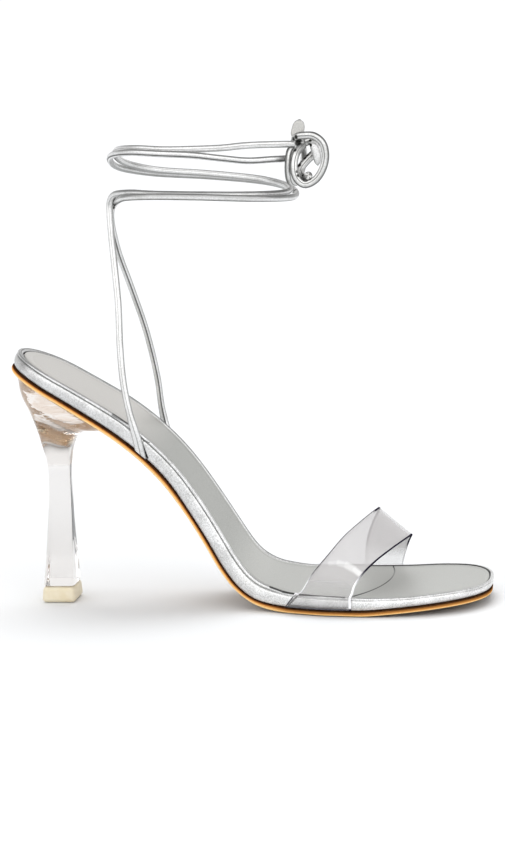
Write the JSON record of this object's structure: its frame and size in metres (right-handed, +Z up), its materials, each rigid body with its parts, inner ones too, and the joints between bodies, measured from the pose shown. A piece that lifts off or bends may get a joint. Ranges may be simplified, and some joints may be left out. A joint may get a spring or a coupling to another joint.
{
  "type": "heeled sandal",
  "caption": "High-heeled sandal with a clear sculpted heel, a clear band over the toes, a silver leather footbed and silver cords tied round the ankle in a bow.",
  "frame": {"origin": "centre of the heel tip's rest face, on the floor", "axes": "+X towards the toe, -Y towards the outer side of the foot, +Z up from the floor"},
  "size_m": [0.2029, 0.08, 0.2028],
  "materials": {
    "silver_leather": "metallic foil, fine grain",
    "sock_lining": "satin metallic",
    "sole_edge": "waxed tan edge",
    "clear_acrylic": "polished, clear",
    "ivory_tip": "satin",
    "clear_film": "polished, clear"
  },
  "bodies": {
    "root": {"outsole": "sole_edge", "midsole": "silver_leather", "insole": "sock_lining", "heel": "clear_acrylic", "heel_tip": "ivory_tip", "vamp_strap": "clear_film", "tie_outer": "silver_leather", "tie_inner": "silver_leather", "bow_knot": "silver_leather", "bow_loop_front": "silver_leather", "bow_loop_back": "silver_leather", "tie_end_up": "silver_leather", "tie_end_down": "silver_leather", "tie_end_front": "silver_leather"}
  },
  "joints": []
}
